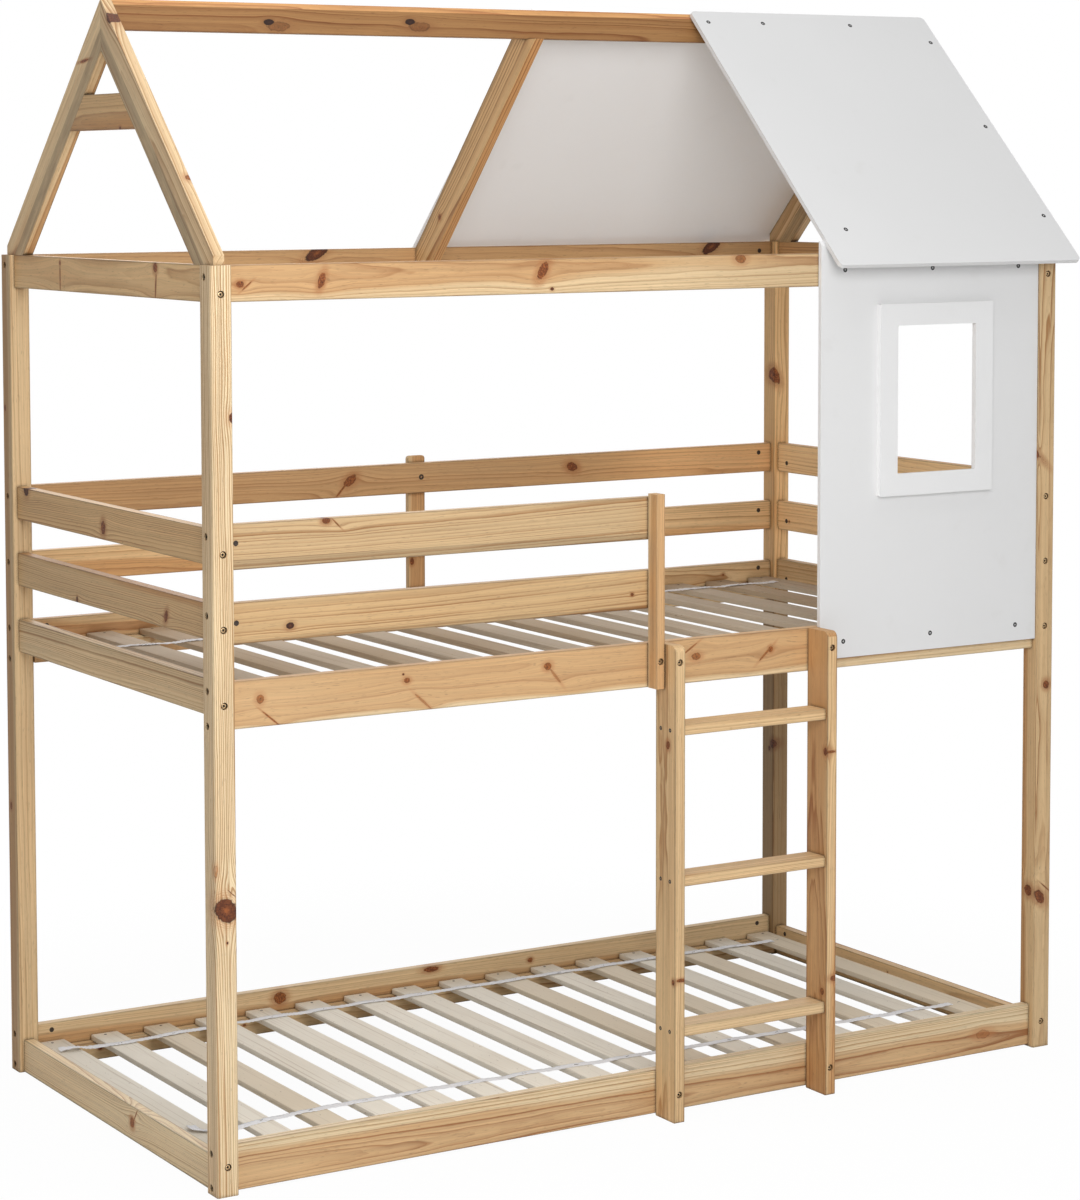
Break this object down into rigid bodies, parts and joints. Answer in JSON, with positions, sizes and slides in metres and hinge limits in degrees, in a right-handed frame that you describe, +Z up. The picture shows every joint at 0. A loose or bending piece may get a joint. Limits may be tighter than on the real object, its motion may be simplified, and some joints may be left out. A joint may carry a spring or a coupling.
{
  "type": "bunk bed",
  "caption": "House-shaped bunk bed in pine: two slatted bunks one above the other, a ladder, guard boards, and painted roof and wall boards with a window.",
  "frame": {"origin": "on the floor, under the middle of the bounding box", "axes": "+X to the right along the bed as seen from the ladder side, +Y to the back, +Z up"},
  "size_m": [2.008, 1.0722, 2.2126],
  "materials": {
    "pine": "clear matt lacquer over knotty pine",
    "slat_wood": "unfinished pale grey-beige planed wood",
    "white_paint": "white satin paint on board",
    "bolt_steel": "dark bronzed steel"
  },
  "bodies": {
    "root": {"post_front_left": "pine", "post_front_right": "pine", "post_back_left": "pine", "post_back_right": "pine", "top_rail_front": "pine", "top_rail_back": "pine", "top_rail_left": "pine", "top_rail_right": "pine", "upper_rail_front": "pine", "upper_rail_back": "pine", "lower_rail_front": "pine", "lower_rail_back": "pine", "lower_rail_left": "pine", "lower_rail_right": "pine", "end_board_upper_left": "pine", "end_board_upper_right": "pine", "end_board_middle_left": "pine", "end_board_middle_right": "pine", "end_board_base_left": "pine", "end_board_base_right": "pine", "front_guard_upper": "pine", "front_guard_lower": "pine", "guard_post": "pine", "back_guard_upper": "pine", "back_guard_lower": "pine", "back_guard_batten": "pine", "ledge_lower_front": "pine", "ledge_lower_back": "pine", "ledge_upper_front": "pine", "ledge_upper_back": "pine", "ladder_stile_left": "pine", "ladder_stile_right": "pine", "ladder_rung_1": "pine", "ladder_rung_2": "pine", "ladder_rung_3": "pine", "rafter_front_left": "pine", "rafter_back_left": "pine", "rafter_front_right": "pine", "rafter_back_right": "pine", "rafter_back_middle": "pine", "collar_left": "pine", "collar_right": "pine", "ridge_beam": "pine", "slats_lower": "slat_wood", "slats_upper": "slat_wood", "roof_panel_front": "white_paint", "roof_panel_back": "white_paint", "wall_panel": "white_paint", "window_trim": "white_paint", "guard_post_bolt": "bolt_steel", "ladder_bolt_left_lower": "bolt_steel", "ladder_bolt_left_upper": "bolt_steel", "ladder_bolt_right_lower": "bolt_steel", "ladder_bolt_right_upper": "bolt_steel"}
  },
  "joints": []
}
